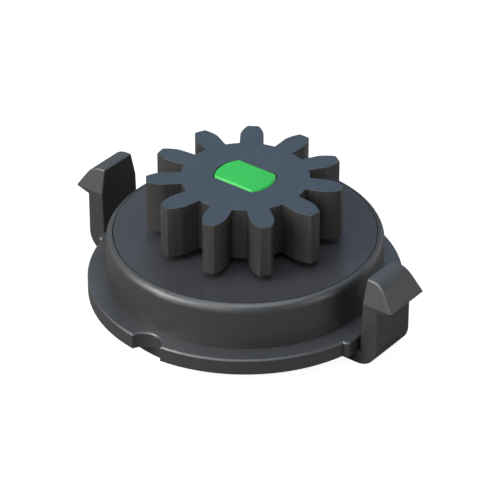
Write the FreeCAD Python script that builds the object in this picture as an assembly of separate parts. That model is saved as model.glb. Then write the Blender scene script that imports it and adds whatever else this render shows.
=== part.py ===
import FreeCAD, Part
import math
import os

# Rotary damper: a sealed cup of silicone fluid in which a ribbed rotor drags,
# driven by a toothed wheel on the rotor's shaft. The cup snaps into a panel
# with two barbed hooks. Millimetres. +Z is the shaft's axis, towards the
# wheel, the origin is on that axis at the bottom face, the hooks stand on
# +X and -X, and the index notch is on -Y.

# Cup of the housing
drum_radius = 9.24
drum_height = 5.25
floor_thickness = 1.0
chamber_wall = 1.1
rim_width = 0.44
rim_round = 0.54

# Flange, with its index notch
flange_width = 1.29
flange_lift = 0.89
flange_thickness = 1.1
flange_bevel = 0.1
notch_radius = 1.18
notch_centre_outset = 0.26

# Flat tabs that widen the flange at the hooks
tab_stand_out = 0.02
tab_width = 5.69
tab_corner_round = 0.3

# Snap hooks
hook_slot = 0.17
hook_thickness = 1.32
hook_width = 3.62
hook_bend_radius = 1.49
hook_draft = 0.17
hook_height = 6.43
hook_top_width = 2.83
hook_edge_round = 0.14
barb_height = 4.4
barb_reach = 1.08
barb_rise = 0.31
lead_in_round = 1.4
crest_length = 1.26
arm_round = 0.12

# Cap, welded on the ledge inside the cup
cap_thickness = 0.99
seam_gap = 0.05

# Rotor with its shaft
shaft_radius = 2.03
shaft_flats = 2.7
shaft_stand_out = 0.08
shaft_bevel = 0.12
shaft_clearance = 0.04
rotor_clearance = 0.4
web_thickness = 0.7
thrust_gap = 0.1
hub_float = 0.15

# Concentric shear ribs on the rotor, the cup's floor and the cap
rib_thickness = 0.6
rib_gap = 0.3
rib_end_gap = 0.25

# Pivot post that centres the rotor on the cup's floor
post_radius = 1.0
post_height = 1.5
post_clearance = 0.04
post_end_gap = 0.15

# Shaft seal in the cap's boss
seal_section = 0.9
seal_clearance = 0.02
boss_wall = 0.6

# Toothed wheel
gear_module = 1.0
gear_teeth = 11
pressure_angle = 14.5
addendum = 1.0
dedendum = 1.25
tooth_thinning = 0.01
root_lean = 2.6
root_round = 0.05
gear_width = 3.67
gear_gap = 0.46
gear_bore_clearance = 0.06

# Levels and radii that follow from the sizes above
flange_radius = drum_radius + flange_width
flange_top = flange_lift + flange_thickness
notch_centre_radius = flange_radius + notch_centre_outset
tab_reach = flange_radius + tab_stand_out
hook_inner_face = tab_reach + hook_slot
hook_outer_face = hook_inner_face + hook_thickness
barb_tip_height = barb_height + barb_rise
chamber_radius = drum_radius - chamber_wall
rotor_radius = chamber_radius - rotor_clearance
seat_radius = drum_radius - rim_width
cap_radius = seat_radius - seam_gap
cap_bottom = drum_height - cap_thickness
gland_radius = shaft_radius + 2 * seal_clearance + seal_section
gland_depth = seal_section + 2 * seal_clearance
boss_radius = gland_radius + boss_wall
boss_bottom = cap_bottom - gland_depth
hub_top = boss_bottom - thrust_gap
hub_bottom = floor_thickness + hub_float
web_bottom = hub_top - web_thickness
post_top = floor_thickness + post_height
rib_pitch = 2 * (rib_thickness + rib_gap)
gear_bottom = drum_height + gear_gap
gear_top = gear_bottom + gear_width
shaft_top = gear_top + shaft_stand_out
pitch_radius = gear_module * gear_teeth / 2
tip_radius = pitch_radius + addendum * gear_module
root_radius = pitch_radius - dedendum * gear_module
base_radius = pitch_radius * math.cos(math.radians(pressure_angle))

AXIS = FreeCAD.Vector(0, 0, 1)
ORIGIN = FreeCAD.Vector(0, 0, 0)
X_AXIS = FreeCAD.Vector(1, 0, 0)
Y_AXIS = FreeCAD.Vector(0, 1, 0)


def cylinder(radius, low, high):
    """Upright cylinder on the axis between two levels."""
    return Part.makeCylinder(radius, high - low, FreeCAD.Vector(0, 0, low), AXIS)


def ring(inner_radius, outer_radius, low, high):
    """Upright ring on the axis between two levels."""
    return cylinder(outer_radius, low, high).cut(cylinder(inner_radius, low, high))


def centred_box(length, width, low, high):
    """Box centred on the axis, length along X and width along Y."""
    corner = FreeCAD.Vector(-length / 2, -width / 2, low)
    return Part.makeBox(length, width, high - low, corner)


def edges_at_level(shape, level):
    """Edges of a shape that lie flat at one level."""
    tolerance = 1e-6
    return [
        edge
        for edge in shape.Edges
        if abs(edge.BoundBox.ZMin - level) < tolerance
        and abs(edge.BoundBox.ZMax - level) < tolerance
    ]


def upright_edges(shape, test):
    """Straight edges parallel to the axis whose foot passes a test on (x, y)."""
    tolerance = 1e-6
    found = []
    for edge in shape.Edges:
        box = edge.BoundBox
        if box.ZLength < tolerance or box.XLength > tolerance or box.YLength > tolerance:
            continue
        if test(box.XMin, box.YMin):
            found.append(edge)
    return found


def double_flat(radius, flats, low, high):
    """Cylinder with two flats that face +Y and -Y."""
    return cylinder(radius, low, high).common(centred_box(2 * radius, flats, low, high))


def arc_pair(points):
    """Two arcs, end to end, through five points in order."""
    return [Part.Arc(*points[:3]).toShape(), Part.Arc(*points[2:]).toShape()]


def ribs_inwards(first_radius, low, high):
    """Concentric ribs from an outermost radius in to the rotor's hub."""
    room = first_radius - rib_thickness - rib_gap - boss_radius
    ribs = []
    for index in range(1 + math.floor(room / rib_pitch)):
        outer = first_radius - index * rib_pitch
        ribs.append(ring(outer - rib_thickness, outer, low, high))
    return ribs


def rotor_ribs(low, high):
    """Shear ribs of the rotor, the first one at its rim."""
    return ribs_inwards(rotor_radius, low, high)


def fixed_ribs(low, high):
    """Ribs that stand in the spaces between the rotor's ribs."""
    return ribs_inwards(rotor_radius - rib_thickness - rib_gap, low, high)


def cup_outside():
    """Drum of the housing as a full body, with its rounded rim."""
    centre = FreeCAD.Vector(drum_radius - rim_round, 0, drum_height - rim_round)
    turns = [math.pi / 2 * quarter / 4 for quarter in range(5)]
    rim = [centre + FreeCAD.Vector(math.cos(turn), 0, math.sin(turn)) * rim_round for turn in turns]
    top_centre = FreeCAD.Vector(0, 0, drum_height)
    base_edge = FreeCAD.Vector(drum_radius, 0, 0)
    corners = [rim[-1], top_centre, ORIGIN, base_edge, rim[0]]
    edges = [Part.LineSegment(*ends).toShape() for ends in zip(corners, corners[1:])]
    profile = Part.Face(Part.Wire(edges + arc_pair(rim)))
    return profile.revolve(ORIGIN, AXIS, 360)


def notch_cutter():
    """Upright cutter for the notch, flared at the top to bevel its edge."""
    bevel_bottom = flange_top - flange_bevel
    flare_radius = notch_radius + flange_bevel
    level = FreeCAD.Vector(0, 0, bevel_bottom)
    flare = Part.makeCone(notch_radius, flare_radius, flange_bevel, level, AXIS)
    return cylinder(notch_radius, flange_lift, bevel_bottom).fuse(flare)


def flange_plate():
    """Flange with the hook tabs and the notch, its top edge bevelled all round."""
    plate = cylinder(flange_radius, flange_lift, flange_top)
    plate = plate.makeChamfer(flange_bevel, edges_at_level(plate, flange_top))
    tabs = centred_box(2 * tab_reach, tab_width, flange_lift, flange_top)
    tabs = tabs.makeFillet(tab_corner_round, upright_edges(tabs, lambda x, y: True))
    tabs = tabs.makeChamfer(flange_bevel, edges_at_level(tabs, flange_top))
    notch = notch_cutter()
    notch.translate(FreeCAD.Vector(0, -notch_centre_radius, 0))
    return plate.fuse(tabs).cut(notch).removeSplitter()


def hook_profile():
    """Side view of a hook on +X, from its root under the tab to its barb."""
    tip_x = hook_outer_face + barb_reach
    corner_x = hook_inner_face + crest_length
    slant = math.atan2(hook_height - barb_tip_height, tip_x - corner_x)
    run = lead_in_round * math.tan(slant / 2)

    def at(x, z):
        return FreeCAD.Vector(x, 0, z)

    root_low = at(seat_radius, 0)
    bend_start = at(hook_outer_face - hook_bend_radius, 0)
    bend_centre = at(hook_outer_face - hook_bend_radius, hook_bend_radius)
    bend_end = at(hook_outer_face, hook_bend_radius)
    barb_root = at(hook_outer_face, barb_height)
    barb_tip = at(tip_x, barb_tip_height)
    slope_end = at(corner_x + run * math.cos(slant), hook_height - run * math.sin(slant))
    crest = at(corner_x - run, hook_height)
    crest_centre = at(corner_x - run, hook_height - lead_in_round)
    back_top = at(hook_inner_face + hook_draft, hook_height)
    slot_bottom = at(hook_inner_face, flange_lift)
    root_high = at(seat_radius, flange_lift)
    bend_middle = bend_centre + (bend_end - bend_centre + bend_start - bend_centre) * math.sqrt(0.5)
    half_turn = slant / 2
    crest_middle = crest_centre + at(math.sin(half_turn), math.cos(half_turn)) * lead_in_round
    edges = [
        Part.LineSegment(root_low, bend_start),
        Part.Arc(bend_start, bend_middle, bend_end),
        Part.LineSegment(bend_end, barb_root),
        Part.LineSegment(barb_root, barb_tip),
        Part.LineSegment(barb_tip, slope_end),
        Part.Arc(slope_end, crest_middle, crest),
        Part.LineSegment(crest, back_top),
        Part.LineSegment(back_top, slot_bottom),
        Part.LineSegment(slot_bottom, root_high),
        Part.LineSegment(root_high, root_low),
    ]
    return Part.Face(Part.Wire([edge.toShape() for edge in edges]))


def hook_front():
    """Front view of a hook: parallel sides that draw in above the barb's tip."""
    half = hook_width / 2
    top_half = hook_top_width / 2
    corners = [
        FreeCAD.Vector(0, -half, 0),
        FreeCAD.Vector(0, half, 0),
        FreeCAD.Vector(0, half, barb_tip_height),
        FreeCAD.Vector(0, top_half, hook_height),
        FreeCAD.Vector(0, -top_half, hook_height),
        FreeCAD.Vector(0, -half, barb_tip_height),
        FreeCAD.Vector(0, -half, 0),
    ]
    return Part.Face(Part.makePolygon(corners))


def crest_side_edges(hook):
    """Edges along both sides of the lead-in and the crest."""
    tolerance = 1e-6
    found = []
    for edge in hook.Edges:
        box = edge.BoundBox
        beside = box.YMin * box.YMax > 0
        above = box.ZMin > barb_tip_height - tolerance
        outside = box.XMax > hook_inner_face + hook_draft + tolerance
        if beside and above and outside:
            found.append(edge)
    return found


def arm_inner_edges(hook):
    """Edges along both sides of the arm's face towards the drum."""
    tolerance = 1e-6
    found = []
    for edge in hook.Edges:
        box = edge.BoundBox
        beside = box.YMin * box.YMax > 0
        above = box.ZMin > flange_lift - tolerance
        inside = box.XMax < hook_inner_face + hook_draft + tolerance
        if beside and above and inside and box.ZLength > tolerance:
            found.append(edge)
    return found


def snap_hook():
    """Hook on +X: root beam, arm and barb."""
    side = hook_profile()
    side.translate(FreeCAD.Vector(0, -hook_width, 0))
    profile_body = side.extrude(Y_AXIS * (2 * hook_width))
    reach = hook_outer_face + barb_reach
    front_body = hook_front().extrude(X_AXIS * (2 * reach))
    hook = profile_body.common(front_body)
    hook = hook.makeFillet(hook_edge_round, crest_side_edges(hook))
    return hook.makeFillet(arm_round, arm_inner_edges(hook))


def housing():
    """Cup, flange, tabs and hooks in one moulding, with floor ribs and post."""
    body = cup_outside().fuse([flange_plate()])
    for turn in (0, 180):
        hook = snap_hook()
        hook.rotate(ORIGIN, AXIS, turn)
        body = body.fuse(hook)
    body = body.cut(cylinder(chamber_radius, floor_thickness, drum_height))
    body = body.cut(cylinder(seat_radius, cap_bottom, drum_height))
    post = cylinder(post_radius, floor_thickness, post_top)
    inside = [post] + fixed_ribs(floor_thickness, web_bottom - rib_end_gap)
    return body.fuse(inside).removeSplitter()


def cap():
    """Disc that closes the cup, with the seal's boss and ribs below."""
    plate = cylinder(cap_radius, cap_bottom, drum_height)
    boss = cylinder(boss_radius, boss_bottom, cap_bottom)
    ribs = fixed_ribs(hub_top + rib_end_gap, cap_bottom)
    body = plate.fuse([boss] + ribs).removeSplitter()
    body = body.cut(cylinder(gland_radius, boss_bottom, cap_bottom))
    return body.cut(cylinder(shaft_radius + shaft_clearance, cap_bottom, drum_height))


def rotor():
    """Ribbed disc, hub and shaft in one piece, the shaft's end double-flatted."""
    hub = cylinder(boss_radius, hub_bottom, hub_top)
    web = cylinder(rotor_radius, web_bottom, hub_top)
    journal = cylinder(shaft_radius, hub_top, gear_bottom)
    driving_end = double_flat(shaft_radius, shaft_flats, gear_bottom, shaft_top)
    driving_end = driving_end.makeChamfer(shaft_bevel, edges_at_level(driving_end, shaft_top))
    ribs = rotor_ribs(floor_thickness + rib_end_gap, web_bottom)
    ribs += rotor_ribs(hub_top, cap_bottom - rib_end_gap)
    body = hub.fuse([web, journal, driving_end] + ribs).removeSplitter()
    return body.cut(cylinder(post_radius + post_clearance, hub_bottom, post_top + post_end_gap))


def shaft_seal():
    """Elastic ring of square section round the shaft, in the boss."""
    inner = shaft_radius + seal_clearance
    low = boss_bottom + seal_clearance
    return ring(inner, inner + seal_section, low, low + seal_section)


def polar(radius, angle, level):
    """Point at a radius and an angle, in radians from +X."""
    return FreeCAD.Vector(radius * math.cos(angle), radius * math.sin(angle), level)


def involute_turn(roll):
    """Angle round the axis that an involute has gained at a roll angle."""
    return roll - math.atan(roll)


def gear_outline():
    """Closed outline of the wheel: involute flanks, leaning in straight below the base circle."""
    pitch_half_angle = (math.pi * gear_module / 2 - tooth_thinning) / (2 * pitch_radius)
    base_half_angle = pitch_half_angle + involute_turn(math.tan(math.radians(pressure_angle)))
    lean = math.radians(root_lean)
    lean_foot = base_radius * math.sin(base_half_angle - lean)
    root_half_angle = lean + math.asin(lean_foot / root_radius)
    tip_roll = math.sqrt((tip_radius / base_radius) ** 2 - 1)

    def flank_point(share, centre, side):
        """Point on the involute, at a share of the roll from base circle to tip."""
        roll = share * tip_roll
        radius = base_radius * math.sqrt(1 + roll ** 2)
        return polar(radius, centre + side * (base_half_angle - involute_turn(roll)), gear_bottom)

    def flank(centre, side):
        """Involute as two arcs through points at even steps of its roll."""
        return arc_pair([flank_point(quarter / 4, centre, side) for quarter in range(5)])

    step_angle = 2 * math.pi / gear_teeth
    edges = []
    for tooth in range(gear_teeth):
        centre = math.pi / 2 + tooth * step_angle
        next_root = centre + step_angle - root_half_angle
        root_start = polar(root_radius, centre - root_half_angle, gear_bottom)
        root_end = polar(root_radius, centre + root_half_angle, gear_bottom)
        space_middle = polar(root_radius, centre + step_angle / 2, gear_bottom)
        space_end = polar(root_radius, next_root, gear_bottom)
        tip_middle = polar(tip_radius, centre, gear_bottom)
        edges += flank(centre, -1) + flank(centre, 1)
        edges += [
            Part.LineSegment(root_start, flank_point(0, centre, -1)).toShape(),
            Part.Arc(flank_point(1, centre, -1), tip_middle, flank_point(1, centre, 1)).toShape(),
            Part.LineSegment(flank_point(0, centre, 1), root_end).toShape(),
            Part.Arc(root_end, space_middle, space_end).toShape(),
        ]
    return Part.Face(Part.Wire(Part.__sortEdges__(edges)))


def gear():
    """Toothed wheel that sits on the shoulders of the shaft's flats."""
    blank = gear_outline().extrude(AXIS * gear_width)
    halfway = (root_radius + pitch_radius) / 2

    def near_root(x, y):
        return math.hypot(x, y) < min(halfway, root_radius + root_round)

    blank = blank.makeFillet(root_round, upright_edges(blank, near_root))
    bore_radius = shaft_radius + gear_bore_clearance
    bore_flats = shaft_flats + 2 * gear_bore_clearance
    return blank.cut(double_flat(bore_radius, bore_flats, gear_bottom, gear_top))


os.makedirs("parts", exist_ok=True)
pieces = {
    "housing": housing,
    "cap": cap,
    "rotor": rotor,
    "shaft_seal": shaft_seal,
    "gear": gear,
}
for name, make in pieces.items():
    shape = make()
    shape.exportStep("parts/" + name + ".step")
    print(name, shape.isValid(), len(shape.Solids), round(shape.Volume, 3))
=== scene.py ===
import bpy
import math
from mathutils import Matrix

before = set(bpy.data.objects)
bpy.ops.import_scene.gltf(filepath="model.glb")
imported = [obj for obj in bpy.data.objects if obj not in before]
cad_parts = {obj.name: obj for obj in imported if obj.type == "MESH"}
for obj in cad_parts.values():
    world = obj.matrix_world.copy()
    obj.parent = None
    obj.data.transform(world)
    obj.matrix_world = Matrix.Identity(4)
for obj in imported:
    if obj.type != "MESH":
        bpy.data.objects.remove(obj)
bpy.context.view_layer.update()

MM = 0.001
WHITE = (1.0, 1.0, 1.0, 1.0)

# Camera of the photograph: where it looks, from how far, its turn round the
# object, its height angle, its tilt about its own axis, its lens and the
# nearest and farthest that it sees
CAMERA_AIM = (-0.745 * MM, 1.499 * MM, 2.556 * MM)
CAMERA_DISTANCE = 198.0 * MM
CAMERA_TURN = math.radians(37.47)
CAMERA_ELEVATION = math.radians(32.74)
CAMERA_ROLL = math.radians(0.09)
CAMERA_LENS = 212.2
CAMERA_SENSOR = 36.0
CAMERA_NEAR = 10 * MM
CAMERA_FAR = 10.0

# Softboxes round the object: name, turn and height angle in degrees, width and
# height in metres, power in watts and tint
LAMP_DISTANCE = 0.45
LAMPS = (
    ("main_softbox", -32, 30, 0.22, 0.36, 1.8, (1.0, 1.0, 0.98)),
    ("top_softbox", 37.5, 80, 0.4, 0.4, 1.15, (0.84, 0.93, 1.0)),
    ("left_softbox", -90, 18, 0.3, 0.3, 0.12, (1.0, 0.98, 0.93)),
    ("front_softbox", 10, 30, 0.3, 0.28, 0.53, (1.0, 0.99, 0.97)),
    ("low_right_softbox", 105, 12, 0.3, 0.24, 0.48, (1.0, 0.99, 0.96)),
    ("low_far_right_softbox", 167.5, 10, 0.24, 0.2, 0.2, (1.0, 0.98, 0.94)),
    ("right_softbox", 147.5, 48, 0.3, 0.3, 0.06, (0.72, 0.86, 1.0)),
    ("rear_softbox", 197.5, 48, 0.3, 0.3, 0.13, (0.8, 0.85, 1.0)),
    ("low_rear_softbox", 217.5, 33, 0.2, 0.2, 0.07, (0.4, 0.64, 1.0)),
    ("rear_left_softbox", -122.5, 18, 0.3, 0.3, 0.1, (0.85, 1.0, 0.9)),
)
AIR_TINT = (1.0, 0.99, 0.97, 1.0)
AIR_STRENGTH = 0.01

# Floor: its side in metres, its own grey and the glow that lifts it to white
FLOOR_SIZE = 3.0
FLOOR_GREY = (0.22, 0.22, 0.22, 1.0)
FLOOR_GLOW = 0.94

# Noises over the plastic: scale to the millimetre, detail and roughness. The
# drawn lines are noise that is squeezed across the axis and stretched along it.
MOTTLE_NOISE = (0.5, 3.0, 0.5)
GRAIN_NOISE = (11.0, 3.0, 0.6)
GLOSS_NOISE = (1.3, 2.0, 0.5)
LINE_NOISE = (1.0, 3.0, 0.7)
LINE_STRETCH = (8.0, 8.0, 0.15)

# The span in which nearly all of a noise lies, and its middle
NOISE_SPAN = (0.3, 0.7)
NOISE_MIDDLE = 0.5

# Brightness from the darkest to the lightest mottle, how far the roughness
# strays to either side, and how deep the grain is
MOTTLE_BRIGHTNESS = (0.94, 1.06)
GLOSS_SPREAD = 0.03
GRAIN_DEPTH = 0.004 * MM

# How much lighter a broken edge is (painted highlight along the edge, with some wear), how much
# glossier it is, and the cosines of its turn away from the face at which this starts and is
# full
EDGE_WEAR_AND_HIGHLIGHT = 0.4
EDGE_POLISH = 0.06
EDGE_TURN = (1.0, 0.8)

# Rounding of outer edges only: rays for each test, how many edge radii the
# test for an inner corner reaches, and how open a corner and an edge are
EDGE_SAMPLES = 8
CORNER_SAMPLES = 8
CORNER_REACH = 4
CORNER_OPENNESS = (0.7, 0.95)

# First of the two inputs that a mix node mixes, and its output
MIX_SOCKETS = {"VECTOR": (4, 1), "RGBA": (6, 2)}

# Finish of each node: name of the material, screen tones of its level and upright faces (on the
# housing and the gear these two differ as painted light: a cooler, lighter top and a warmer
# side, as the lamps fall on them), roughness, edge radius in millimetres, specular level (0.5
# is plain plastic) and strength of its drawn lines
FINISHES = {
    "housing": ("housing_black", (54, 55, 59), (42, 41, 40), 0.45, 0.07, 1.35, 0.0),
    "cap": ("cap_black", (61, 61, 64), (61, 61, 64), 0.38, 0.02, 0.5, 0.0),
    "gear": ("gear_black", (51, 60, 71), (61, 59, 57), 0.36, 0.06, 0.75, 1.35),
    "rotor": ("rotor_green", (46, 190, 77), (46, 190, 77), 0.4, 0.03, 0.5, 0.0),
    "shaft_seal": ("seal_rubber", (30, 30, 31), (30, 30, 31), 0.55, 0.02, 0.5, 0.0),
}


def srgb(tone):
    """Linear colour of three 0 to 255 screen values, by the sRGB curve."""
    linear = []
    for value in tone:
        share = value / 255
        if share <= 0.04045:
            linear.append(share / 12.92)
        else:
            linear.append(((share + 0.055) / 1.055) ** 2.4)
    return (*linear, 1.0)


class Nodes:
    """Short names for building the node tree of a material or a world."""

    def __init__(self, owner):
        owner.use_nodes = True
        self.tree = owner.node_tree
        self.tree.nodes.clear()

    def add(self, kind, inputs=None, **settings):
        """New node with its settings, its inputs set to a value or linked to a socket."""
        node = self.tree.nodes.new(kind)
        for key, value in settings.items():
            setattr(node, key, value)
        for key, value in (inputs or {}).items():
            if isinstance(value, bpy.types.NodeSocket):
                self.tree.links.new(value, node.inputs[key])
            else:
                node.inputs[key].default_value = value
        return node

    def math(self, operation, first, second=0.0):
        return self.add("ShaderNodeMath", {0: first, 1: second}, operation=operation).outputs[0]

    def vector_math(self, operation, first, second=(0.0, 0.0, 0.0)):
        return self.add("ShaderNodeVectorMath", {0: first, 1: second}, operation=operation)

    def remap(self, value, source, target):
        """Value with one span of it spread over another span."""
        inputs = {
            "Value": value,
            "From Min": source[0],
            "From Max": source[1],
            "To Min": target[0],
            "To Max": target[1],
        }
        return self.add("ShaderNodeMapRange", inputs).outputs["Result"]

    def mix(self, kind, factor, first, second):
        """Mix of two vectors or two colours."""
        socket, result = MIX_SOCKETS[kind]
        inputs = {0: factor, socket: first, socket + 1: second}
        return self.add("ShaderNodeMix", inputs, data_type=kind).outputs[result]

    def millimetres(self, stretch=(1.0, 1.0, 1.0)):
        """Object coordinates in millimetres of the part's frame, stretched for streaks."""
        place = self.add("ShaderNodeTexCoord").outputs["Object"]
        scale = tuple(share / MM for share in stretch)
        return self.vector_math("MULTIPLY", place, scale).outputs["Vector"]

    def noise(self, place, settings):
        scale, detail, roughness = settings
        inputs = {"Vector": place, "Scale": scale, "Detail": detail, "Roughness": roughness}
        return self.add("ShaderNodeTexNoise", inputs).outputs["Fac"]

    def face_normal(self):
        return self.add("ShaderNodeNewGeometry").outputs["Normal"]

    def rounded_edges(self, radius):
        """Normal of outer edges that are broken by a small radius, inner corners left sharp."""
        edge = self.add("ShaderNodeBevel", {"Radius": radius}, samples=EDGE_SAMPLES)
        corner = self.add(
            "ShaderNodeAmbientOcclusion",
            {"Distance": CORNER_REACH * radius},
            samples=CORNER_SAMPLES,
            only_local=True,
        )
        outer = self.remap(corner.outputs["AO"], CORNER_OPENNESS, (0.0, 1.0))
        mixed = self.mix("VECTOR", outer, self.face_normal(), edge.outputs["Normal"])
        return self.vector_math("NORMALIZE", mixed).outputs["Vector"]

    def edge_share(self, rounded):
        """1 on a broken edge and 0 on the open faces."""
        turned = self.vector_math("DOT_PRODUCT", rounded, self.face_normal())
        return self.remap(turned.outputs["Value"], EDGE_TURN, (0.0, 1.0))

    def upright_share(self):
        """1 on upright faces and 0 on level ones."""
        level = self.add("ShaderNodeSeparateXYZ", {"Vector": self.face_normal()}).outputs["Z"]
        return self.math("SUBTRACT", 1.0, self.math("ABSOLUTE", level))

    def brightened(self, colour, value):
        inputs = {"Color": colour, "Value": value}
        return self.add("ShaderNodeHueSaturation", inputs).outputs["Color"]

    def bump(self, height, depth, normal):
        inputs = {"Height": height, "Distance": depth, "Strength": 1.0, "Normal": normal}
        return self.add("ShaderNodeBump", inputs).outputs["Normal"]

    def for_camera(self, seen, unseen):
        """One shader for the camera's own rays and another for all others."""
        sight = self.add("ShaderNodeLightPath").outputs["Is Camera Ray"]
        return self.add("ShaderNodeMixShader", {0: sight, 1: unseen, 2: seen}).outputs[0]


def moulded_plastic(name, level, upright, roughness, edge_radius, specular, line_strength):
    """Moulded plastic: spark-eroded grain, faint mottling, varied gloss, glossier edges
    lightened by painted highlight with some wear.

    Level faces are moulded square to the axis and upright ones along it. Their two tones are
    painted light: level faces take the cool light from above and upright faces the warm light
    from the sides. The drawn lines of upright faces are those that a wire-cut mould leaves.
    """
    material = bpy.data.materials.new(name)
    nodes = Nodes(material)
    place = nodes.millimetres()
    rounded = nodes.rounded_edges(edge_radius * MM)
    edge = nodes.edge_share(rounded)
    side = nodes.upright_share()

    drawn = nodes.noise(nodes.millimetres(LINE_STRETCH), LINE_NOISE)
    drawn = nodes.math("SUBTRACT", drawn, NOISE_MIDDLE)
    lines = nodes.math("MULTIPLY", drawn, nodes.math("MULTIPLY", side, line_strength))

    mottle = nodes.remap(nodes.noise(place, MOTTLE_NOISE), NOISE_SPAN, MOTTLE_BRIGHTNESS)
    # Broken edges lightened as a painted highlight with some wear, added to the mottle
    mottle_wear_and_highlight = nodes.math("ADD", nodes.math("MULTIPLY", edge, EDGE_WEAR_AND_HIGHLIGHT), mottle)
    # Painted light: level and upright faces get their own tones, a cooler top and a warmer
    # side, as the lamps fall on them
    colour = nodes.mix("RGBA", side, srgb(level), srgb(upright))
    colour = nodes.brightened(colour, nodes.math("ADD", mottle_wear_and_highlight, lines))

    span = (roughness - GLOSS_SPREAD, roughness + GLOSS_SPREAD)
    gloss = nodes.remap(nodes.noise(place, GLOSS_NOISE), NOISE_SPAN, span)
    gloss = nodes.math("SUBTRACT", gloss, nodes.math("MULTIPLY", edge, EDGE_POLISH))

    relief = nodes.math("ADD", nodes.noise(place, GRAIN_NOISE), lines)
    inputs = {
        "Base Color": colour,
        "Roughness": gloss,
        "Specular IOR Level": specular,
        "Normal": nodes.bump(relief, GRAIN_DEPTH, rounded),
    }
    shader = nodes.add("ShaderNodeBsdfPrincipled", inputs)
    nodes.add("ShaderNodeOutputMaterial", {"Surface": shader.outputs["BSDF"]})
    return material


def floor_material():
    """Pale floor that the camera sees as white, with the object's shadow kept."""
    material = bpy.data.materials.new("pale_floor")
    nodes = Nodes(material)
    matt = nodes.add("ShaderNodeBsdfDiffuse", {"Color": FLOOR_GREY}).outputs[0]
    glow = nodes.add("ShaderNodeEmission", {"Color": WHITE, "Strength": FLOOR_GLOW}).outputs[0]
    bright = nodes.add("ShaderNodeAddShader", {0: matt, 1: glow}).outputs[0]
    nodes.add("ShaderNodeOutputMaterial", {"Surface": nodes.for_camera(bright, matt)})
    return material


def dress(node, material):
    """Give a CAD node its material, with smooth shading across its rounds."""
    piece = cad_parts[node]
    piece.data.materials.clear()
    piece.data.materials.append(material)
    piece.data.shade_smooth()


def place_in_scene(name, data):
    """New object in the scene for a lamp's or a camera's data."""
    item = bpy.data.objects.new(name, data)
    bpy.context.scene.collection.objects.link(item)
    return item


def around_object(distance, turn, elevation):
    """Offset from what is looked at, to a turn and a height angle in radians."""
    level = distance * math.cos(elevation)
    return level * math.sin(turn), -level * math.cos(turn), distance * math.sin(elevation)


def lamp(name, turn, elevation, width, height, power, tint):
    """Softbox that looks at the object from a turn and a height angle."""
    data = bpy.data.lights.new(name, "AREA")
    data.shape = "RECTANGLE"
    data.size = width
    data.size_y = height
    data.energy = power
    data.color = tint
    light = place_in_scene(name, data)
    around = math.radians(turn)
    above = math.radians(elevation)
    light.location = around_object(LAMP_DISTANCE, around, above)
    light.rotation_euler = (math.pi / 2 - above, 0, around)


def studio_air():
    """Soft light from all round, behind a white backdrop that only the camera sees."""
    world = bpy.data.worlds.new("studio_air")
    bpy.context.scene.world = world
    nodes = Nodes(world)
    air = nodes.add("ShaderNodeBackground", {"Color": AIR_TINT, "Strength": AIR_STRENGTH})
    backdrop = nodes.add("ShaderNodeBackground", {"Color": WHITE, "Strength": 1.0})
    choice = nodes.for_camera(backdrop.outputs[0], air.outputs[0])
    nodes.add("ShaderNodeOutputWorld", {"Surface": choice})


def studio():
    """Floor, lamps and background."""
    bpy.ops.mesh.primitive_plane_add(size=FLOOR_SIZE, location=(0, 0, 0))
    floor = bpy.context.object
    floor.name = "floor"
    floor.data.materials.append(floor_material())
    for settings in LAMPS:
        lamp(*settings)
    studio_air()


def photograph_camera():
    """Camera where the photograph was taken from."""
    data = bpy.data.cameras.new("photograph_camera")
    data.lens = CAMERA_LENS
    data.sensor_width = CAMERA_SENSOR
    data.clip_start = CAMERA_NEAR
    data.clip_end = CAMERA_FAR
    camera = place_in_scene("photograph_camera", data)
    offset = around_object(CAMERA_DISTANCE, CAMERA_TURN, CAMERA_ELEVATION)
    camera.location = tuple(aim + step for aim, step in zip(CAMERA_AIM, offset))
    turn = Matrix.Rotation(CAMERA_TURN, 3, "Z")
    tilt = Matrix.Rotation(math.pi / 2 - CAMERA_ELEVATION, 3, "X")
    roll = Matrix.Rotation(CAMERA_ROLL, 3, "Z")
    camera.rotation_euler = (turn @ tilt @ roll).to_euler()
    bpy.context.scene.camera = camera


for node, finish in FINISHES.items():
    dress(node, moulded_plastic(*finish))
studio()
photograph_camera()
bpy.context.scene.view_settings.view_transform = "Standard"
